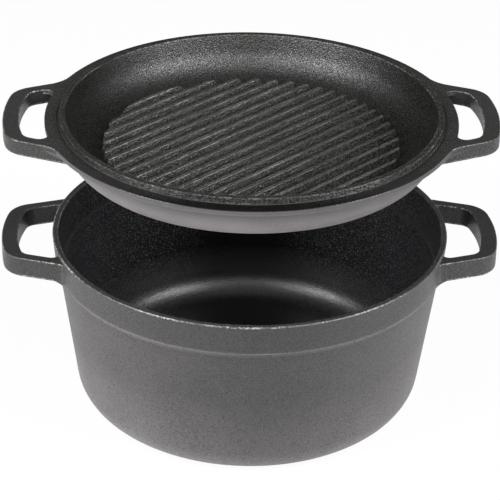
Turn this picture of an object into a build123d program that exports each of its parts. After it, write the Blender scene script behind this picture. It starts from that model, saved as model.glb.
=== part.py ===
from build123d import *
from dataclasses import dataclass
from math import cos, radians, sin, sqrt, tan
import os

# Cast iron combo cooker, in millimetres: a deep round pot, and a shallow grill pan that is also
# its lid. Each is one sand casting with a loop handle at either end of the X axis. The lid is
# lifted straight above the pot, grill side up. The origin is the centre of the pot's flat base,
# +Z is up and +X runs along the handles.

# Rim of the pot
mouth_radius = 126.0
rim_width = 4.0
rim_outer_edge = 0.9
rim_inner_edge = 1.1
pot_height = 119.5

# Thicker band below the rim: taper and step outside, taper, groove and ledge inside
band_height = 20.5
band_taper = 1.8
band_step = 1.4
band_lower_edge = 0.5
inner_band_height = 24.2
inner_band_taper = 1.8
inner_groove_height = 1.4
inner_groove_depth = 0.6

# Wall and floor of the pot
wall_thickness = 4.2
wall_draft = 7.6
floor_thickness = 5.0
outer_corner_radius = 23.0
inner_corner_radius = 18.0
base_cut = 3.0

# Loop handles of the pot: how far they stand out from its rim, and their shape
pot_handle_projection = 33.2
pot_handle_bow = 5.0
pot_handle_end_half_width = 34.5
pot_handle_root_half_width = 46.5
pot_handle_corner = 18.0
pot_handle_root_fillet = 13.0
pot_handle_drop = 3.6
pot_handle_thickness = 14.0
pot_handle_bar = 10.4
pot_handle_arm = 7.2
pot_handle_under_fillet = 11.0
pot_hole_corner = 8.0
pot_hole_root_corner = 4.5

# Flange, lip and locating bead of the lid
lid_overhang = 2.6
lip_height = 3.3
bead_clearance = 2.0
bead_draft = 0.8
bead_width = 3.8
bead_height = 3.6
bead_edge = 0.6
bead_groove_width = 1.0
bead_groove_depth = 0.5

# Pan of the lid
nest_clearance = 1.6
pan_draft = 17.0
pan_depth = 29.4
pan_corner_radius = 21.5
pan_flange_fillet = 2.0
pan_floor_thickness = 6.2
pan_inner_draft = 8.8
pan_inner_corner_radius = 20.0

# Grill ribs of the lid. They end on a circle inside the pan's wall, and the outermost two lie
# at least the side gap inside that circle.
rib_pitch = 9.85
rib_angle = 44.2
rib_end_gap = 18.85
rib_side_gap = 2.4
rib_height = 4.6
rib_foot_width = 4.8
rib_draft = 13.0
rib_edge = 0.5

# Loop handles of the lid: how far they stand out from its flange, and their shape
lid_handle_projection = 26.6
lid_handle_bow = 5.0
lid_handle_end_half_width = 36.5
lid_handle_root_half_width = 49.5
lid_handle_corner = 18.0
lid_handle_root_fillet = 22.0
lid_handle_thickness = 10.7
lid_handle_bar = 10.4
lid_handle_arm = 8.2
lid_hole_corner = 9.0
lid_hole_root_corner = 5.0

# Edges of all four loop handles, and how deep their arms run into a wall.
# The corners of a finger hole take at most these shares of its depth.
handle_top_edge = 0.7
handle_under_edge = 2.0
arm_bury = 3.0
hole_corner_share = 0.6
hole_root_corner_share = 0.35

# Height of the lid's flange above the pot's rim, as lifted
lid_lift = 81.5

rim_radius = mouth_radius + rim_width
band_foot = (rim_radius - band_taper, pot_height - band_height)
wall_top = (band_foot[0] - band_step, band_foot[1])
ledge_z = pot_height - inner_band_height
inner_band_foot_radius = mouth_radius - inner_band_taper
groove_radius = inner_band_foot_radius + inner_groove_depth
pot_handle_reach = rim_radius + pot_handle_projection
pot_handle_top_z = pot_height - pot_handle_drop
pot_handle_under_z = pot_handle_top_z - pot_handle_thickness

lid_radius = rim_radius + lid_overhang
lid_z = pot_height + lid_lift
flange_under_z = lid_z - lip_height
bead_z = lid_z + bead_height
bead_foot_radius = mouth_radius - bead_clearance
bead_top_radius = bead_foot_radius - bead_draft
pan_mouth_radius = bead_top_radius - bead_width
pan_top = (mouth_radius - nest_clearance, flange_under_z)
pan_base_z = lid_z - pan_depth
pan_floor_z = pan_base_z + pan_floor_thickness
lid_handle_reach = lid_radius + lid_handle_projection
lid_handle_under_z = lid_z - lid_handle_thickness


def on_wall(top, draft, z):
    """Point at height z on a wall that leans in, going down from the point top."""
    return (top[0] - (top[1] - z) * tan(radians(draft)), z)


def nearest(sketch, points):
    """The sketch's vertices nearest to these points."""
    return [sketch.vertices().sort_by_distance(point)[0] for point in points]


def loop_edges(casting, z, radius):
    """Edges of the casting at height z whose middle lies outside this radius."""
    return casting.edges().filter_by_position(Axis.Z, z, z).filter_by(
        lambda edge: Vector(edge.center().X, edge.center().Y).length > radius)


@dataclass
class Loops:
    """The pair of loop handles on a round casting, seen from above."""

    rim_radius: float
    reach: float
    bow: float
    end_half_width: float
    root_half_width: float
    corner: float
    root_fillet: float
    bar: float
    arm: float
    hole_corner: float
    hole_root_corner: float

    def flare(self):
        """How much half the width grows for each millimetre towards the rim."""
        rim_x = sqrt(self.rim_radius**2 - self.root_half_width**2)
        return (self.root_half_width - self.end_half_width) / (self.reach - self.bow - rim_x)

    def half_width(self, x):
        """Half the width over the two arms at this distance from the centre."""
        return self.end_half_width + (self.reach - self.bow - x) * self.flare()

    def root(self, disc_radius):
        """Where the outer side of an arm meets a disc of this radius."""
        slant = 1 + self.flare()**2
        middle = self.half_width(0)
        x = (middle * self.flare() + sqrt(slant * disc_radius**2 - middle**2)) / slant
        return (x, self.half_width(x))

    def outline(self, disc_radius):
        """Disc and both loops, not yet pierced."""
        end_x = self.reach - self.bow
        root_x, root_y = self.root(disc_radius)
        buried_x = root_x - self.corner
        buried_y = self.half_width(buried_x)
        ends = [(end_x, -self.end_half_width), (end_x, self.end_half_width)]
        roots = [(x, y) for x in (-root_x, root_x) for y in (-root_y, root_y)]
        with BuildSketch() as plan:
            with BuildLine():
                ThreePointArc(ends[0], (self.reach, 0), ends[1])
                Polyline(ends[1], (buried_x, buried_y), (buried_x, -buried_y), ends[0])
            make_face()
            fillet(nearest(plan, ends), self.corner)
            mirror(about=Plane.YZ)
            Circle(disc_radius)
            fillet(nearest(plan, roots), self.root_fillet)
        return plan.sketch

    def holes(self, disc_radius):
        """Both finger holes, whose inner side follows a disc of this radius."""
        outer_x = self.reach - self.bar
        end_x = outer_x - self.bow
        end_y = self.half_width(end_x) - self.arm
        buried_x = disc_radius - end_y
        buried_y = self.half_width(buried_x) - self.arm
        ends = [(end_x, -end_y), (end_x, end_y)]
        depth = end_x - sqrt(disc_radius**2 - end_y**2)
        with BuildSketch() as plan:
            with BuildLine():
                ThreePointArc(ends[0], (outer_x, 0), ends[1])
                Polyline(ends[1], (buried_x, buried_y), (buried_x, -buried_y), ends[0])
            make_face()
            Circle(disc_radius, mode=Mode.SUBTRACT)
            roots = plan.vertices().sort_by(Axis.X)[:2]
            fillet(roots, min(self.hole_root_corner, hole_root_corner_share * depth))
            fillet(nearest(plan, ends), min(self.hole_corner, hole_corner_share * depth))
            mirror(about=Plane.YZ)
        return plan.sketch

    def arms(self, wall_radius, inset=0):
        """Both loops, thinner by the inset all round, on a ring inside a wall of this radius."""
        with BuildSketch() as gaps:
            add(self.holes(wall_radius))
            if inset:
                offset(amount=inset)
        with BuildSketch() as plan:
            add(self.outline(wall_radius + inset))
            if inset:
                offset(amount=-inset)
            add(gaps.sketch, mode=Mode.SUBTRACT)
            Circle(wall_radius - arm_bury, mode=Mode.SUBTRACT)
        return plan.sketch


pot_loops = Loops(band_foot[0], pot_handle_reach, pot_handle_bow, pot_handle_end_half_width,
                  pot_handle_root_half_width, pot_handle_corner, pot_handle_root_fillet,
                  pot_handle_bar, pot_handle_arm, pot_hole_corner, pot_hole_root_corner)
lid_loops = Loops(lid_radius, lid_handle_reach, lid_handle_bow, lid_handle_end_half_width,
                  lid_handle_root_half_width, lid_handle_corner, lid_handle_root_fillet,
                  lid_handle_bar, lid_handle_arm, lid_hole_corner, lid_hole_root_corner)

# The pot's handles run into its rim band, and a fillet under each arm into the wall below.
pot_root = on_wall(wall_top, wall_draft, pot_handle_under_z - pot_handle_under_fillet)
pot_under = (pot_root[0] + pot_handle_under_fillet, pot_handle_under_z)

with BuildPart() as pot_handles:
    with BuildSketch(Plane.XY.offset(pot_handle_under_z)):
        add(pot_loops.arms(band_foot[0]))
    extrude(amount=pot_handle_thickness)
    fillet(loop_edges(pot_handles, pot_handle_top_z, rim_radius), handle_top_edge)
    fillet(loop_edges(pot_handles, pot_handle_under_z, rim_radius), handle_under_edge)

with BuildPart() as pot_arm_roots:
    with BuildSketch(Plane.XY.offset(pot_root[1])):
        add(pot_loops.arms(pot_root[0], inset=handle_under_edge))
    extrude(amount=pot_handle_under_fillet)
    with BuildSketch(Plane.XZ):
        with BuildLine():
            Polyline(pot_root, (0, pot_root[1]), (0, pot_handle_under_z), pot_under)
            RadiusArc(pot_root, pot_under, pot_handle_under_fillet)
        make_face()
    revolve(axis=Axis.Z, mode=Mode.INTERSECT)

with BuildPart() as pot:
    with BuildSketch(Plane.XZ) as body_profile:
        base_corner = on_wall(wall_top, wall_draft, -base_cut)
        with BuildLine():
            Polyline((0, -base_cut), base_corner, wall_top, band_foot, (rim_radius, pot_height),
                     (0, pot_height), close=True)
        make_face()
        fillet(nearest(body_profile, [base_corner]), outer_corner_radius)
        fillet(nearest(body_profile, [band_foot]), band_lower_edge)
        with Locations((0, -base_cut)):
            Rectangle(2 * rim_radius, 2 * base_cut, mode=Mode.SUBTRACT)
    revolve(axis=Axis.Z)
    add([pot_handles.part, pot_arm_roots.part])
    with BuildSketch(Plane.XZ) as cavity_profile:
        inner_wall = (wall_top[0] - wall_thickness / cos(radians(wall_draft)), wall_top[1])
        cavity_corner = on_wall(inner_wall, wall_draft, floor_thickness)
        with BuildLine():
            Polyline((0, floor_thickness), cavity_corner, on_wall(inner_wall, wall_draft, ledge_z),
                     (groove_radius, ledge_z), (groove_radius, ledge_z + inner_groove_height),
                     (inner_band_foot_radius, ledge_z + inner_groove_height),
                     (mouth_radius, pot_height), (0, pot_height), close=True)
        make_face()
        fillet(nearest(cavity_profile, [cavity_corner]), inner_corner_radius)
    revolve(axis=Axis.Z, mode=Mode.SUBTRACT)
    rim_edges = pot.edges().group_by(Axis.Z)[-1].sort_by(SortBy.RADIUS)
    fillet(rim_edges[0], rim_inner_edge)
    fillet(pot.edges().group_by(Axis.Z)[-1].sort_by(SortBy.RADIUS)[-1], rim_outer_edge)

with BuildPart() as lid_flange:
    with BuildSketch(Plane.XY.offset(flange_under_z)):
        add(lid_loops.outline(lid_radius))
        add(lid_loops.holes(lid_radius), mode=Mode.SUBTRACT)
    extrude(amount=lip_height)
    fillet(lid_flange.edges().group_by(Axis.Z)[-1], handle_top_edge)

with BuildPart() as lid_arms:
    with BuildSketch(Plane.XY.offset(lid_handle_under_z)):
        add(lid_loops.arms(on_wall(pan_top, pan_draft, lid_handle_under_z)[0]))
    extrude(amount=lid_handle_thickness - lip_height)
    fillet(loop_edges(lid_arms, lid_handle_under_z, lid_radius), handle_under_edge)

with BuildPart() as grill_lid:
    add([lid_flange.part, lid_arms.part])
    with BuildSketch(Plane.XZ) as pan_profile:
        pan_corner = on_wall(pan_top, pan_draft, pan_base_z)
        bead_foot = (bead_foot_radius, lid_z)
        bead_top = (bead_top_radius, bead_z)
        with BuildLine():
            Polyline((0, pan_base_z), pan_corner, pan_top, (rim_radius, flange_under_z),
                     bead_foot, bead_top, (0, bead_z), close=True)
        make_face()
        fillet(nearest(pan_profile, [pan_corner]), pan_corner_radius)
        fillet(nearest(pan_profile, [pan_top]), pan_flange_fillet)
        fillet(nearest(pan_profile, [bead_top]), bead_edge)
    revolve(axis=Axis.Z)
    with BuildSketch(Plane.XZ) as pan_cavity_profile:
        pan_mouth = (pan_mouth_radius, bead_z)
        pan_cavity_corner = on_wall(pan_mouth, pan_inner_draft, pan_floor_z)
        with BuildLine():
            Polyline((0, pan_floor_z), pan_cavity_corner, pan_mouth, (0, bead_z), close=True)
        make_face()
        fillet(nearest(pan_cavity_profile, [pan_cavity_corner]), pan_inner_corner_radius)
        with Locations(bead_foot):
            Rectangle(bead_groove_width, 2 * bead_groove_depth, align=(Align.MIN, Align.CENTER))
    revolve(axis=Axis.Z, mode=Mode.SUBTRACT)
    fillet(grill_lid.edges().group_by(Axis.Z)[-1].sort_by(SortBy.RADIUS)[0], bead_edge)
    rib_direction = (cos(radians(rib_angle)), sin(radians(rib_angle)), 0)
    rib_circle_radius = pan_cavity_corner[0] - rib_end_gap
    rib_count = 2 * int((rib_circle_radius - rib_side_gap) / rib_pitch + 0.5)
    with BuildSketch(Plane((0, 0, pan_floor_z), x_dir=rib_direction, z_dir=(0, 0, 1))):
        with GridLocations(0, rib_pitch, 1, rib_count):
            Rectangle(2 * rib_circle_radius, rib_foot_width)
        Circle(rib_circle_radius, mode=Mode.INTERSECT)
    extrude(amount=rib_height, taper=rib_draft)
    rib_tops = grill_lid.faces().filter_by_position(
        Axis.Z, pan_floor_z + rib_height, pan_floor_z + rib_height)
    fillet(rib_tops.edges().filter_by(GeomType.LINE), rib_edge)

os.makedirs("parts", exist_ok=True)
for name, casting in (("pot", pot), ("grill_lid", grill_lid)):
    casting.part.label = name
    export_step(casting.part, f"parts/{name}.step")
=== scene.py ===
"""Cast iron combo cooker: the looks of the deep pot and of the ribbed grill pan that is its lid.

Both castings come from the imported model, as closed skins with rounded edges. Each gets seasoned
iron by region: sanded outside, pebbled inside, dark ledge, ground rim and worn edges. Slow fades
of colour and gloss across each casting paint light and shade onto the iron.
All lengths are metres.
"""

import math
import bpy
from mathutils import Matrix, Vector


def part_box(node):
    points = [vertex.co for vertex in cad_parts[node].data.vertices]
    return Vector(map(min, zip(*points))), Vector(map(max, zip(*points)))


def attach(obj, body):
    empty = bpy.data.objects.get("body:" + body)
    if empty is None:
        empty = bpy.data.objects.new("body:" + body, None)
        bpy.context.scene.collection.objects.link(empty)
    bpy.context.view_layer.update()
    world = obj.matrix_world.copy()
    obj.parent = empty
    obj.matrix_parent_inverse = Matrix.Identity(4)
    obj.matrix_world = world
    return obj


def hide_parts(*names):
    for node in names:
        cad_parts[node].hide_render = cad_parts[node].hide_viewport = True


bl_info = {
    "name": "Cast Iron Combo Cooker",
    "version": (1, 0, 0),
    "blender": (4, 5, 0),
    "location": "View3D > Sidebar > Cooker",
    "description": "Finishes a cast iron pot and its ribbed grill lid, and lights them",
    "category": "Object",
}

from collections import namedtuple

import bmesh
import bpy
from mathutils import Matrix, Vector

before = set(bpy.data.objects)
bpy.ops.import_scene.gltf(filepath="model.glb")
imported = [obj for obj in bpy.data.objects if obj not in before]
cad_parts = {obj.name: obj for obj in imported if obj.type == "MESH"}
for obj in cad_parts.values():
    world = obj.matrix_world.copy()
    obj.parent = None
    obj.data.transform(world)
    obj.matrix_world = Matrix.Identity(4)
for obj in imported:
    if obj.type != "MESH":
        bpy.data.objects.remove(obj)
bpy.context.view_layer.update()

# Heights and radii where one finish ends and the next begins, taken from the castings
POT_TOP_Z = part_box("pot")[1].z
LID_BASE_Z, LID_TOP_Z = (corner.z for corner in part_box("grill_lid"))
POT_MOUTH_RADIUS = 0.1260
POT_RIM_RADIUS = 0.1308
POT_FLOOR_Z = 0.0050
BAND_FOOT_Z = 0.0990
INNER_LEDGE_Z = 0.0953
PAN_MOUTH_RADIUS = 0.1200
PAN_FLOOR_Z = LID_BASE_Z + 0.0062
LEDGE_Z = LID_TOP_Z - 0.0036
LIP_FOOT_Z = LEDGE_Z - 0.0033
BEAD_FOOT_RADIUS = 0.1238
FLANGE_RADIUS = 0.1324
RIB_CIRCLE_RADIUS = 0.0975
RIB_FOOT_Z = PAN_FLOOR_Z + 0.0002

# A finish reaches this far past an edge, over its rounding
EDGE_REACH = 0.0012

# How far a face's normal points up or down, where only that tells two finishes apart
LEVEL = 0.5
SLOPING_UP = 0.3
SLOPING_DOWN = -0.1

# A strip of triangles narrower than this, across a convex bend, belongs to a rounded edge
EDGE_STRIP = 0.00075
EDGE_BEND = math.radians(8)
SMOOTH_ANGLE = math.radians(30)
MERGE_DISTANCE = 0.00001
WEAR = "edge_wear"

# An edge rubbed all round, on a circle about the vertical axis
Ring = namedtuple("Ring", "radius half_width strength")
BEAD_RINGS = (Ring(0.1196, 0.0005, 0.9), Ring(0.1230, 0.0004, 0.8), Ring(0.1240, 0.0003, 0.6))
RIM_RINGS = (Ring(0.1262, 0.0005, 0.5), Ring(0.1297, 0.0007, 1.0))

# Along an axis a value goes from first, at the start, to times, at the end, and stays so beyond
# them. The distance counts from the middle to both sides, or is signed where the axis is "+X".
# Every fade below paints light or shade onto the iron, by place.
Fade = namedtuple("Fade", "axis start end times first", defaults=(1.0,))

# Marks on the iron: their size, and the levels of their noise between which they appear
MOTTLE_SIZE, MOTTLE_TIMES = 0.030, (0.85, 1.15)
NOISE_MIDDLE = (0.35, 0.65)
GRAIN_TOPS = (0.48, 0.66)
PIT_SIZE, PIT_LEVELS, PIT_TIMES = 0.0011, (0.62, 0.70), 0.4
CHIP_SIZE, CHIP_LEVELS = 0.0015, (0.42, 0.62)
RUB_SIZE, RUB_LEVELS, RUB_LEAST = 0.025, (0.38, 0.60), 0.15
FLECK_SIZE, FLECK_LEVELS = 0.0010, (0.58, 0.70)
# Painted shade: the bare flecks are left out of the pot's dark middle and come in towards its
# sides.
FLECK_SHADE_FADE = Fade("X", 0.020, 0.070, 1.0, 0.0)
PEBBLE_SPACING, PEBBLE_FOOT, PEBBLE_SMOOTHNESS = 1.2, 0.7, 0.6
IRON_IOR = 1.7
WORN_METALLIC = 0.2
WORN_SMOOTHER = 0.10

# Stage: the floor and world are white to the camera, and gray boards that it doesn't see keep
# level faces dark. Each board has its size, place and turn in degrees.
WHITE = (1, 1, 1, 1)
FLOOR_SIZE = 8
FLOOR_WHITE = 0.94
FLOOR_ROUGHNESS, FLOOR_GLOSS = 0.9, 0.1
WORLD_LIGHT = 0.40
BOARD_GRAY = (0.14, 0.14, 0.14, 1)
BOARDS = {
    "rear_board": ((5.0, 3.2), (0, 2.0, 1.45), (70, 0, 0)),
    "top_board": ((4.0, 3.0), (0, 0.7, 2.7), (12, 0, 0)),
    "left_board": ((2.4, 2.4), (-1.5, 0.7, 1.4), (80, 0, 90)),
    "right_board": ((2.4, 2.4), (1.5, 0.7, 1.4), (80, 0, -90)),
}

# Soft boxes: degrees round from the camera's side, width and watts
SOFT_BOXES = {"right_soft_box": (61, 0.65, 29), "left_soft_box": (-61, 0.8, 33)}
SOFT_BOX_HEIGHT = 1.6
SOFT_BOX_DISTANCE = 1.5
SOFT_BOX_ELEVATION = 32

# The lens in pixels of the picture, and the point that the camera looks at
IMAGE_PIXELS = 500
FOCAL_PIXELS = 2107.0
SENSOR_MILLIMETRES = 36
CLIP_END = 50
AIM_SIDE = 0.00038
AIM_HEIGHT = 0.10112


class CookerFinish(bpy.types.PropertyGroup):
    """Colours and textures of the iron."""

    outside_colour: bpy.props.FloatVectorProperty(
        name="Outside", description="Iron of the outer walls", subtype="COLOR",
        default=(0.025, 0.0230, 0.0238), min=0, max=1)
    # Painted light: the lid's outer wall gets a paler iron than the pot's outside, standing in
    # for light falling on it.
    lid_wall_painted_light_colour: bpy.props.FloatVectorProperty(
        name="Lid wall", description="Paler iron of the lid's outer wall", subtype="COLOR",
        default=(0.056, 0.0518, 0.0537), min=0, max=1)
    rim_colour: bpy.props.FloatVectorProperty(
        name="Rim", description="Ground iron of the pot's rim", subtype="COLOR",
        default=(0.022, 0.022, 0.021), min=0, max=1)
    # Painted shade: the pot's inside is kept near black here for the shade in its middle; it is
    # made paler towards the sides.
    inside_colour_and_shade: bpy.props.FloatVectorProperty(
        name="Inside", description="Seasoned iron inside the pot", subtype="COLOR",
        default=(0.002, 0.002, 0.0023), min=0, max=1)
    pan_colour: bpy.props.FloatVectorProperty(
        name="Pan", description="Seasoned iron of the grill pan and its ribs", subtype="COLOR",
        default=(0.008, 0.008, 0.0076), min=0, max=1)
    flange_colour: bpy.props.FloatVectorProperty(
        name="Handles", description="Dark iron of the handles and the lid's ledge",
        subtype="COLOR", default=(0.020, 0.020, 0.0194), min=0, max=1)
    worn_colour: bpy.props.FloatVectorProperty(
        name="Worn edge", description="Iron where the seasoning has worn off", subtype="COLOR",
        default=(0.42, 0.41, 0.38), min=0, max=1)
    sand_grain: bpy.props.FloatProperty(
        name="Sand grain", description="Size of the sand marks outside", unit="LENGTH",
        default=0.0008, min=0.0002, max=0.01)
    pebble: bpy.props.FloatProperty(
        name="Pebble", description="Size of the pebbles inside", unit="LENGTH",
        default=0.0012, min=0.0002, max=0.01)


class CookerStage(bpy.types.PropertyGroup):
    """The floor, the light and the camera."""

    floor_colour: bpy.props.FloatVectorProperty(
        name="Floor", description="Pale studio floor", subtype="COLOR",
        default=(0.90, 0.90, 0.90), min=0, max=1)
    lamp_power: bpy.props.FloatProperty(
        name="Lamp power", description="Scales both soft boxes", subtype="FACTOR",
        default=1.0, min=0, max=10)
    view_distance: bpy.props.FloatProperty(
        name="View distance", description="Camera to the middle of the cooker", unit="LENGTH",
        default=1.4, min=0.3, max=20)
    view_elevation: bpy.props.FloatProperty(
        name="View elevation", description="Camera above the horizon", subtype="ANGLE",
        default=math.radians(29.165))
    view_turn: bpy.props.FloatProperty(
        name="View turn", description="Camera round to the left", subtype="ANGLE",
        default=math.radians(2.03))
    view_roll: bpy.props.FloatProperty(
        name="View roll", description="Camera tipped about its own axis", subtype="ANGLE",
        default=math.radians(1.01))


def deselect():
    """Nothing is selected, so that an operator acts only on what is picked next."""
    if bpy.context.object and bpy.context.object.mode != "OBJECT":
        bpy.ops.object.mode_set(mode="OBJECT")
    bpy.ops.object.select_all(action="DESELECT")


def pick(piece):
    """Makes one piece the selected and active one."""
    deselect()
    piece.select_set(True)
    bpy.context.view_layer.objects.active = piece


def in_scene(name, data):
    """A new object in the scene."""
    made = bpy.data.objects.new(name, data)
    bpy.context.scene.collection.objects.link(made)
    return made


def mark_rounded_edges(piece):
    """Marks the narrow strips of the castings' rounded edges, where handling wears the iron."""
    shape = bmesh.new()
    shape.from_mesh(piece.data)
    marks = shape.faces.layers.float.new(WEAR)
    for face in shape.faces:
        longest = max(edge.calc_length() for edge in face.edges)
        bend = max(edge.calc_face_angle_signed(0) for edge in face.edges)
        narrow = 2 * face.calc_area() / max(longest, MERGE_DISTANCE) < EDGE_STRIP
        face[marks] = 1.0 if narrow and bend > EDGE_BEND else 0.0
    shape.to_mesh(piece.data)
    shape.free()


def casting(node, body, finishes, region):
    """A closed copy of a CAD node that stands for it, with a finish for each region."""
    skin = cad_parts[node].data.copy()
    skin.name = f"{node}_casting"
    piece = in_scene(f"{node}_casting", skin)
    pick(piece)
    bpy.ops.object.mode_set(mode="EDIT")
    bpy.ops.mesh.select_all(action="SELECT")
    bpy.ops.mesh.remove_doubles(threshold=MERGE_DISTANCE)
    bpy.ops.object.mode_set(mode="OBJECT")
    bpy.ops.mesh.customdata_custom_splitnormals_clear()
    mark_rounded_edges(piece)
    bpy.ops.object.shade_smooth_by_angle(angle=SMOOTH_ANGLE)
    weighted = piece.modifiers.new("Even shading", "WEIGHTED_NORMAL")
    weighted.keep_sharp = True
    bpy.ops.object.modifier_apply(modifier=weighted.name)
    piece.data.materials.clear()
    for material in finishes.values():
        piece.data.materials.append(material)
    names = list(finishes)
    for face in piece.data.polygons:
        face.material_index = names.index(region(face.center, face.normal))
    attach(piece, body)
    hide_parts(node)


def pot_region(centre, normal):
    """Which finish a face of the pot has."""
    radius = centre.xy.length
    if radius > POT_RIM_RADIUS:
        return "handle"
    if centre.z > POT_TOP_Z - EDGE_REACH and radius > POT_MOUTH_RADIUS - EDGE_REACH:
        return "rim"
    if radius < POT_MOUTH_RADIUS and centre.z > POT_FLOOR_Z - MERGE_DISTANCE:
        if abs(centre.z - INNER_LEDGE_Z) < EDGE_REACH and normal.z > SLOPING_UP:
            return "band_edge"
        if normal.xy.dot(centre.xy) <= 0 or normal.z > LEVEL:
            return "inside"
    if abs(centre.z - BAND_FOOT_Z) < EDGE_REACH and normal.z < SLOPING_DOWN:
        return "band_edge"
    return "outside"


def lid_region(centre, normal):
    """Which finish a face of the grill lid has."""
    radius = centre.xy.length
    if radius > FLANGE_RADIUS + EDGE_REACH:
        return "handle"
    if centre.z > PAN_FLOOR_Z - MERGE_DISTANCE and radius < PAN_MOUTH_RADIUS:
        if radius < RIB_CIRCLE_RADIUS and centre.z > RIB_FOOT_Z:
            return "ribs"
        if normal.z > 0 or normal.xy.dot(centre.xy) < 0:
            return "pan"
    if centre.z > LEDGE_Z + MERGE_DISTANCE or (radius < BEAD_FOOT_RADIUS and normal.z > 0):
        return "bead"
    if centre.z > LEDGE_Z - EDGE_REACH and normal.z > SLOPING_UP:
        return "ledge"
    return "lid_wall"


class Wiring:
    """A node tree, built up one node at a time."""

    def __init__(self, tree):
        self.nodes = tree.nodes
        self.links = tree.links

    def plug(self, socket, value):
        """Links a value to an input, or sets it there."""
        if isinstance(value, bpy.types.NodeSocket):
            self.links.new(value, socket)
        else:
            socket.default_value = value

    def node(self, kind, inputs=(), **settings):
        """A node with its settings, and its inputs linked or given."""
        made = self.nodes.new(kind)
        for key, value in settings.items():
            setattr(made, key, value)
        for key, value in dict(inputs).items():
            self.plug(made.inputs[key], value)
        return made

    def maths(self, operation, a, b=0.0):
        """Two values joined by an operation."""
        return self.node("ShaderNodeMath", {0: a, 1: b}, operation=operation).outputs[0]

    def seen(self):
        """1 for what the camera sees, straight, in gloss or through glass, and 0 for light."""
        path = self.node("ShaderNodeLightPath").outputs
        mirrored = self.maths("MAXIMUM", path["Is Camera Ray"], path["Is Glossy Ray"])
        return self.maths("MAXIMUM", mirrored, path["Is Transmission Ray"])

    def surface(self, output, share, first, second):
        """Sends a mix of two shaders to the tree's output."""
        mixed = self.node("ShaderNodeMixShader", {0: share, 1: first, 2: second})
        self.links.new(mixed.outputs[0], self.nodes[output].inputs["Surface"])


class Finish(Wiring):
    """A material whose patterns lie on the piece's own coordinates."""

    def __init__(self, name):
        self.material = bpy.data.materials.new(name)
        self.material.use_nodes = True
        super().__init__(self.material.node_tree)
        self.shader = self.nodes["Principled BSDF"]
        self.place = self.nodes.new("ShaderNodeTexCoord").outputs["Object"]

    def send(self, socket, value):
        """Links a value to one of the shader's sockets, or sets it."""
        self.plug(self.shader.inputs[socket], value)

    def noise(self, size, detail):
        """Noise whose marks are about this size."""
        inputs = {"Vector": self.place, "Scale": 1 / size, "Detail": detail}
        return self.node("ShaderNodeTexNoise", inputs).outputs["Fac"]

    def pebbles(self, size):
        """Rounded grains of about this size, high in their middles."""
        inputs = {"Vector": self.place, "Scale": 1 / size, "Smoothness": PEBBLE_SMOOTHNESS}
        cells = self.node("ShaderNodeTexVoronoi", inputs, feature="SMOOTH_F1")
        return self.between(cells.outputs["Distance"], 0.0, PEBBLE_FOOT, 1.0, 0.0)

    def between(self, value, low, high, to_low=0.0, to_high=1.0):
        """The value from one range to another, held at its ends."""
        inputs = {"Value": value, "From Min": low, "From Max": high,
                  "To Min": to_low, "To Max": to_high}
        return self.node("ShaderNodeMapRange", inputs).outputs["Result"]

    def blend(self, share, a, b):
        """From colour a to colour b. A Mix node's colours are its inputs 6 and 7."""
        mixed = self.node("ShaderNodeMix", {0: share, 6: a, 7: b}, data_type="RGBA")
        return mixed.outputs[2]

    def scaled(self, colour, times):
        """A colour made paler or darker."""
        return self.node("ShaderNodeVectorMath", {0: colour, "Scale": times},
                         operation="SCALE").outputs[0]

    def fade(self, fade):
        """The value that a fade has at each place."""
        along = self.node("ShaderNodeSeparateXYZ", {"Vector": self.place}).outputs[fade.axis[-1]]
        if fade.axis[0] != "+":
            along = self.maths("ABSOLUTE", along)
        return self.between(along, fade.start, fade.end, fade.first, fade.times)

    def ring(self, ring):
        """A ring's strength on its circle, and nothing outside its width."""
        flat = self.node("ShaderNodeVectorMath", {0: self.place, 1: (1, 1, 0)},
                         operation="MULTIPLY").outputs[0]
        out = self.node("ShaderNodeVectorMath", {0: flat}, operation="LENGTH").outputs["Value"]
        off = self.maths("ABSOLUTE", self.maths("SUBTRACT", out, ring.radius))
        return self.between(off, ring.half_width / 2, ring.half_width, ring.strength, 0.0)


def solid(colour, times=1.0):
    """A colour with its alpha, darker or lighter."""
    return (*(channel * times for channel in colour), 1.0)


def wear_mask(finish, wear, rings, painted_glint_fade, flecks, painted_shade_middle):
    """Where bare iron shows: on rounded edges, on rubbed rings and in scattered flecks. A fade
    can make it a painted glint that is stronger on one side, and painted shade can keep the
    flecks out of the middle.
    """
    mask = finish.node("ShaderNodeAttribute", attribute_name=WEAR).outputs["Fac"]
    for ring in rings:
        mask = finish.maths("MAXIMUM", mask, finish.ring(ring))
    chips = finish.between(finish.noise(CHIP_SIZE, 1.0), *CHIP_LEVELS)
    rub = finish.between(finish.noise(RUB_SIZE, 1.0), *RUB_LEVELS, RUB_LEAST, 1.0)
    for share in (chips, rub, wear):
        mask = finish.maths("MULTIPLY", mask, share)
    # Painted glint: the bare edges show brighter on one side than on the other.
    if painted_glint_fade:
        mask = finish.maths("MULTIPLY", mask, finish.fade(painted_glint_fade))
    if flecks:
        bare = finish.between(finish.noise(FLECK_SIZE, 0.0), *FLECK_LEVELS, 0.0, flecks)
        # Painted shade: no bare flecks in the dark middle.
        if painted_shade_middle:
            bare = finish.maths("MULTIPLY", bare, finish.fade(FLECK_SHADE_FADE))
        mask = finish.maths("MAXIMUM", mask, bare)
    return mask


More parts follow.
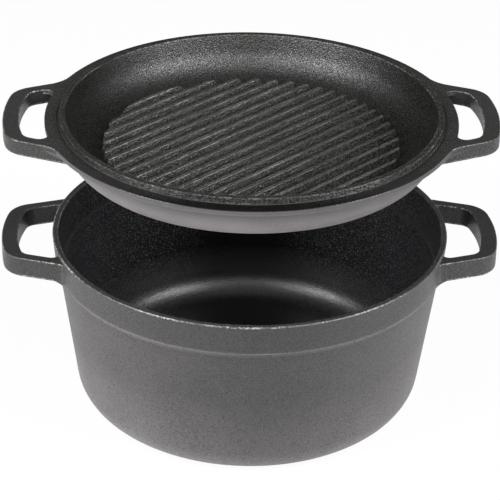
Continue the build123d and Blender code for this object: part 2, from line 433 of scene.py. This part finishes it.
def cast_iron(name, colour, grain, depth, roughness, gloss=(0.30, 0.70), pebbled=0.0, specks=2.0,
              pitted=False, wear=0.5, rings=(), painted_glint_fade=None, flecks=0.0, painted_shade_middle=False,
              painted_light_fades=(), painted_sheen_fades=()):
    """Seasoned cast iron: mottled colour, sand or pebble relief, and worn rounded edges.

    grain and depth are the relief's size and height, and pebbled the share of pebbles in it.
    roughness and gloss are each a low and a high value, which the grain moves between. specks
    says how many times paler the tops of the grains are. wear is how bare the rounded edges are,
    rings are edges rubbed all round, and flecks is how bare the scattered flecks are. The fades
    of colour and gloss paint light and shade onto the iron, the wear's fade paints a glint that
    is stronger on one side, and a shaded middle is painted shade that keeps the flecks out.
    """
    finish = Finish(name)
    mottle = finish.between(finish.noise(MOTTLE_SIZE, 3.0), *NOISE_MIDDLE)
    fine = finish.noise(grain, 1.0)
    shade = finish.blend(mottle, *(solid(colour, times) for times in MOTTLE_TIMES))
    shade = finish.blend(finish.between(fine, *GRAIN_TOPS), shade, solid(colour, specks))
    if pitted:
        pits = finish.between(finish.noise(PIT_SIZE, 0.0), *PIT_LEVELS)
        shade = finish.blend(pits, shade, solid(colour, PIT_TIMES))
    # Painted light and shade: the colour made paler or darker by place.
    for fade in painted_light_fades:
        shade = finish.scaled(shade, finish.fade(fade))
    sheen = finish.between(fine, *NOISE_MIDDLE, *gloss)
    # Painted sheen and shade: the gloss made stronger or weaker by place.
    for fade in painted_sheen_fades:
        sheen = finish.maths("MULTIPLY", sheen, finish.fade(fade))
    smooth, rough = roughness
    matt = finish.between(fine, *NOISE_MIDDLE, rough, smooth)
    if wear:
        mask = wear_mask(finish, wear, rings, painted_glint_fade, flecks, painted_shade_middle)
        shade = finish.blend(mask, shade, solid(bpy.context.scene.cooker_finish.worn_colour))
        matt = finish.maths("SUBTRACT", matt, finish.maths("MULTIPLY", mask, WORN_SMOOTHER))
        finish.send("Metallic", finish.maths("MULTIPLY", mask, WORN_METALLIC))
    height = fine
    if pebbled:
        pebbles = finish.pebbles(grain * PEBBLE_SPACING)
        height = finish.maths("ADD", finish.maths("MULTIPLY", pebbles, pebbled), fine)
    relief = finish.node("ShaderNodeBump", {"Strength": 1.0, "Distance": depth, "Height": height})
    finish.send("Base Color", shade)
    finish.send("Roughness", matt)
    finish.send("Specular IOR Level", sheen)
    finish.send("Normal", relief.outputs["Normal"])
    finish.send("IOR", IRON_IOR)
    return finish.material


def outside_iron(chosen):
    """Sanded iron of the pot's outer wall and base, with painted light and shade: paler at its
    foot and its sides, darker on the band, a painted highlight line under the band and a painted
    shadow line along the base.
    """
    # Painted light and shade: paler towards the foot as a painted reflection of the floor, paler
    # at both sides, and darker on the band below the rim.
    wall = (Fade("Z", 0.060, 0.0, 2.5), Fade("+X", 0.0, -0.115, 2.3),
            Fade("+X", 0.020, 0.115, 1.8), Fade("Z", 0.088, 0.104, 0.65))
    # Painted reflection of the floor on the rounded foot, and a painted shadow line under it.
    foot_light_and_shadow = (Fade("Z", 0.016, 0.004, 1.5), Fade("Z", 0.0030, 0.0015, 0.15))
    # Painted highlight: a pale line just below the band's foot.
    band_highlight_line = (Fade("Z", BAND_FOOT_Z - 0.0035, BAND_FOOT_Z - 0.0010, 3.2),
                 Fade("Z", BAND_FOOT_Z + 0.0002, BAND_FOOT_Z + 0.0016, 0.31))
    return cast_iron(
        "sanded_iron", chosen.outside_colour, grain=chosen.sand_grain, depth=0.00009,
        roughness=(0.45, 0.55), gloss=(0.40, 0.60), specks=1.25, pitted=True, wear=0.4,
        painted_light_fades=(*wall, *foot_light_and_shadow, *band_highlight_line),
        # Painted sheen at the foot, and gloss dulled in the painted shadow line under it.
        painted_sheen_fades=(Fade("Z", 0.018, 0.006, 1.35), Fade("Z", 0.0035, 0.0018, 0.2)))


def band_edge_iron(chosen):
    """Iron of the steps below the pot's rim, outside and in, made paler as a painted highlight.
    """
    return cast_iron(
        "band_highlight_iron", chosen.outside_colour, grain=chosen.sand_grain, depth=0.00010,
        # Painted highlight: the steps' iron is made five times paler.
        roughness=(0.42, 0.58), specks=1.25, painted_light_fades=(Fade("Z", 0.110, 0.100, 5.0),))


def inside_iron(chosen):
    """Black, flecked iron inside the pot, with painted light and shade: paler and flecked towards
    the sides, near black in the middle, and glossy mostly on the floor's rounded corner.
    """
    return cast_iron(
        "seasoned_pot_iron", chosen.inside_colour_and_shade, grain=chosen.pebble * 0.7, depth=0.00009,
        roughness=(0.32, 0.42), gloss=(0.75, 1.0), pebbled=0.8, specks=4.0, wear=0.3,
        # Painted light: paler towards the sides. Painted shade keeps the flecks out of the
        # middle.
        flecks=0.26, painted_shade_middle=True, painted_light_fades=(Fade("X", 0.030, 0.100, 9.0),),
        # Painted sheen and shade: gloss kept on the floor's rounded corner, less on the floor and
        # little on the wall.
        painted_sheen_fades=(Fade("Z", 0.024, 0.042, 0.10), Fade("Z", 0.0075, 0.0052, 0.6)))


def rim_iron(chosen):
    """Ground iron of the pot's rim, with a glint at its edges that is brightest at the left."""
    return cast_iron(
        "ground_rim_iron", chosen.rim_colour, grain=chosen.sand_grain, depth=0.00008,
        roughness=(0.36, 0.46), wear=1.0, rings=RIM_RINGS,
        # Painted glint: the worn edges show brightest at the left and fade towards the right.
        painted_glint_fade=Fade("+X", -0.010, 0.090, 0.45))


def handle_iron(chosen):
    """Dark iron of the loop handles, made a little paler on the pot than on the lid as painted
    light.
    """
    return cast_iron(
        "handle_iron", chosen.flange_colour, grain=chosen.sand_grain, depth=0.00010,
        roughness=(0.38, 0.50), gloss=(0.20, 0.45), specks=1.6, wear=0.7,
        # Painted light: the pot's handles, lower down, are made paler than the lid's.
        painted_light_fades=(Fade("Z", 0.160, 0.140, 1.25),))


def lid_wall_iron(chosen):
    """Fine iron of the lid's outer wall, with painted light: paler overall and towards its lower
    edge, darker to the right, and a painted highlight line along the foot of its lip.
    """
    # Painted light and shade: paler towards the lower edge, as painted light from the floor, and
    # darker towards the right.
    wall = (Fade("Z", 0.193, LID_BASE_Z, 5.5), Fade("+X", 0.0, 0.110, 0.55))
    # Painted highlight: a light line along the foot of the lip.
    lip_highlight_line = (Fade("Z", LIP_FOOT_Z + 0.0010, LIP_FOOT_Z + 0.0004, 1.4),
                  Fade("Z", LIP_FOOT_Z - 0.0002, LIP_FOOT_Z - 0.0008, 0.7))
    return cast_iron(
        "sanded_lid_iron", chosen.lid_wall_painted_light_colour, grain=chosen.sand_grain, depth=0.00003,
        roughness=(0.49, 0.51), gloss=(0.45, 0.55), specks=1.1, wear=0.1,
        painted_light_fades=(*wall, *lip_highlight_line))


def pan_iron(chosen):
    """Pebbled iron of the grill pan, its gloss dulled as painted shade at its sides, a little in
    its middle, and at the foot of its wall.
    """
    return cast_iron(
        "seasoned_pan_iron", chosen.pan_colour, grain=chosen.pebble * 0.65, depth=0.00022,
        roughness=(0.40, 0.52), gloss=(0.30, 1.0), pebbled=1.0, specks=4.0, wear=0.3,
        # Painted shade: gloss dulled at the sides, a little in the middle, and at the foot of the
        # wall.
        painted_sheen_fades=(Fade("X", 0.060, 0.112, 0.10), Fade("X", 0.020, 0.000, 0.85),
                     Fade("Z", PAN_FLOOR_Z + 0.002, PAN_FLOOR_Z + 0.012, 1.0, 0.35)))


def rib_iron(chosen):
    """Pebbled iron of the grill ribs, whose worn tops show a painted glint strongest at the left,
    and whose gloss is dulled towards the right as painted shade.
    """
    return cast_iron(
        "seasoned_rib_iron", chosen.pan_colour, grain=chosen.pebble * 0.9, depth=0.00030,
        roughness=(0.28, 0.42), pebbled=1.0, specks=9.0, wear=0.7,
        # Painted glint: the worn tops show brightest at the left.
        painted_glint_fade=Fade("+X", -0.020, 0.080, 0.35), flecks=0.16,
        # Painted shade: gloss dulled towards the right.
        painted_sheen_fades=(Fade("+X", 0.0, 0.080, 0.6),))


def bead_iron(chosen):
    """Pebbled iron of the lid's bead, rubbed along its edges."""
    return cast_iron(
        "worn_bead_iron", chosen.pan_colour, grain=chosen.pebble * 0.8, depth=0.00022,
        roughness=(0.30, 0.42), gloss=(0.05, 0.3), pebbled=0.8, specks=4.0, wear=0.36,
        rings=BEAD_RINGS, flecks=0.10)


def ledge_iron(chosen):
    """Smooth dark iron of the lid's ledge, with painted shade that makes it darkest in the middle
    of front and back.
    """
    return cast_iron(
        "dark_ledge_iron", chosen.flange_colour, grain=chosen.sand_grain, depth=0.00002,
        roughness=(0.24, 0.32), gloss=(0.15, 0.35), wear=0.0,
        # Painted shade: the ledge is made far darker in the middle of front and back than at its
        # sides.
        painted_light_fades=(Fade("X", 0.045, 0.120, 1.0, 0.06),))


class COOKER_OT_pot(bpy.types.Operator):
    """Make the deep pot with its finishes"""

    bl_idname = "cooker.make_pot"
    bl_label = "Pot"

    def execute(self, context):
        chosen = context.scene.cooker_finish
        finishes = {"outside": outside_iron(chosen), "band_edge": band_edge_iron(chosen),
                    "inside": inside_iron(chosen), "handle": handle_iron(chosen),
                    "rim": rim_iron(chosen)}
        casting("pot", "pot", finishes, pot_region)
        return {"FINISHED"}


class COOKER_OT_grill_lid(bpy.types.Operator):
    """Make the grill pan that is the lid, with its finishes"""

    bl_idname = "cooker.make_grill_lid"
    bl_label = "Grill lid"

    def execute(self, context):
        chosen = context.scene.cooker_finish
        finishes = {"lid_wall": lid_wall_iron(chosen), "pan": pan_iron(chosen),
                    "ribs": rib_iron(chosen), "bead": bead_iron(chosen),
                    "ledge": ledge_iron(chosen), "handle": handle_iron(chosen)}
        casting("grill_lid", "grill_lid", finishes, lid_region)
        return {"FINISHED"}


def pale_floor():
    """Floor that looks white and keeps a soft shadow of the cooker."""
    deselect()
    bpy.ops.mesh.primitive_plane_add(size=FLOOR_SIZE)
    floor = bpy.context.object
    floor.name = "studio_floor"
    finish = Finish("pale_floor")
    finish.send("Base Color", solid(bpy.context.scene.cooker_stage.floor_colour))
    finish.send("Roughness", FLOOR_ROUGHNESS)
    finish.send("Specular IOR Level", FLOOR_GLOSS)
    white = finish.node("ShaderNodeEmission", {"Color": WHITE, "Strength": 1.0})
    finish.surface("Material Output", finish.maths("MULTIPLY", finish.seen(), FLOOR_WHITE),
                   finish.shader.outputs[0], white.outputs[0])
    floor.data.materials.append(finish.material)


def gray_boards():
    """Gray boards behind, over and beside the cooker, which the camera doesn't see."""
    finish = Finish("board_cloth")
    finish.send("Base Color", BOARD_GRAY)
    finish.send("Roughness", 1.0)
    finish.send("Specular IOR Level", 0.0)
    for name, (size, place, turn) in BOARDS.items():
        deselect()
        bpy.ops.mesh.primitive_plane_add(size=1)
        board = bpy.context.object
        board.name = name
        board.scale = (*size, 1)
        board.location = place
        board.rotation_euler = [math.radians(angle) for angle in turn]
        board.visible_camera = False
        board.data.materials.append(finish.material)


def soft_box(name, azimuth, width, watts):
    """An area lamp round from the camera's side, aimed at the cooker."""
    lamp = bpy.data.lights.new(name, "AREA")
    lamp.shape = "RECTANGLE"
    lamp.size, lamp.size_y = width, SOFT_BOX_HEIGHT
    lamp.energy = watts * bpy.context.scene.cooker_stage.lamp_power
    box = in_scene(name, lamp)
    turn, rise = math.radians(azimuth), math.radians(SOFT_BOX_ELEVATION)
    back = Vector((math.sin(turn) * math.cos(rise), -math.cos(turn) * math.cos(rise),
                   math.sin(rise)))
    box.location = Vector((0, 0, AIM_HEIGHT)) + back * SOFT_BOX_DISTANCE
    box.rotation_euler = back.to_track_quat("Z", "Y").to_euler()


def studio_world():
    """White to the camera and in reflections, and an even gray light elsewhere."""
    world = bpy.data.worlds.new("studio")
    bpy.context.scene.world = world
    world.use_nodes = True
    wiring = Wiring(world.node_tree)
    light = wiring.nodes["Background"]
    wiring.plug(light.inputs["Color"], WHITE)
    wiring.plug(light.inputs["Strength"], WORLD_LIGHT)
    white = wiring.node("ShaderNodeBackground", {"Color": WHITE, "Strength": 1.0})
    wiring.surface("World Output", wiring.seen(), light.outputs[0], white.outputs[0])


def photo_camera():
    """Long lens from above the front, turned a little to the left."""
    stage = bpy.context.scene.cooker_stage
    look = bpy.data.cameras.new("camera")
    look.sensor_width = SENSOR_MILLIMETRES
    look.lens = look.sensor_width * FOCAL_PIXELS / IMAGE_PIXELS
    look.clip_end = CLIP_END
    camera = in_scene("camera", look)
    facing = (Matrix.Rotation(-stage.view_turn, 4, "Z")
              @ Matrix.Rotation(math.pi / 2 - stage.view_elevation, 4, "X")
              @ Matrix.Rotation(stage.view_roll, 4, "Z"))
    side = Vector((math.cos(stage.view_turn), -math.sin(stage.view_turn), 0))
    target = side * AIM_SIDE + Vector((0, 0, AIM_HEIGHT))
    camera.matrix_world = (Matrix.Translation(target) @ facing
                           @ Matrix.Translation((0, 0, stage.view_distance)))
    bpy.context.scene.camera = camera


class COOKER_OT_stage(bpy.types.Operator):
    """Make the floor, the soft light and the camera"""

    bl_idname = "cooker.make_stage"
    bl_label = "Stage"

    def execute(self, context):
        pale_floor()
        gray_boards()
        studio_world()
        for name, settings in SOFT_BOXES.items():
            soft_box(name, *settings)
        photo_camera()
        context.scene.view_settings.view_transform = "Standard"
        return {"FINISHED"}


OPERATORS = (COOKER_OT_pot, COOKER_OT_grill_lid, COOKER_OT_stage)


class COOKER_PT_panel(bpy.types.Panel):
    """Sizes, colours and steps of the combo cooker"""

    bl_idname = "COOKER_PT_panel"
    bl_label = "Combo cooker"
    bl_space_type = "VIEW_3D"
    bl_region_type = "UI"
    bl_category = "Cooker"

    def draw(self, context):
        for group in (context.scene.cooker_finish, context.scene.cooker_stage):
            box = self.layout.box()
            for name in group.__annotations__:
                box.prop(group, name)
        for operator in OPERATORS:
            self.layout.operator(operator.bl_idname)


CLASSES = (CookerFinish, CookerStage, *OPERATORS, COOKER_PT_panel)


def register():
    for made in CLASSES:
        bpy.utils.register_class(made)
    bpy.types.Scene.cooker_finish = bpy.props.PointerProperty(type=CookerFinish)
    bpy.types.Scene.cooker_stage = bpy.props.PointerProperty(type=CookerStage)


def unregister():
    del bpy.types.Scene.cooker_stage
    del bpy.types.Scene.cooker_finish
    for made in reversed(CLASSES):
        bpy.utils.unregister_class(made)


def main():
    """Makes the stage and both castings."""
    register()
    bpy.ops.cooker.make_stage()
    bpy.ops.cooker.make_pot()
    bpy.ops.cooker.make_grill_lid()
    deselect()


if __name__ == "__main__":
    main()
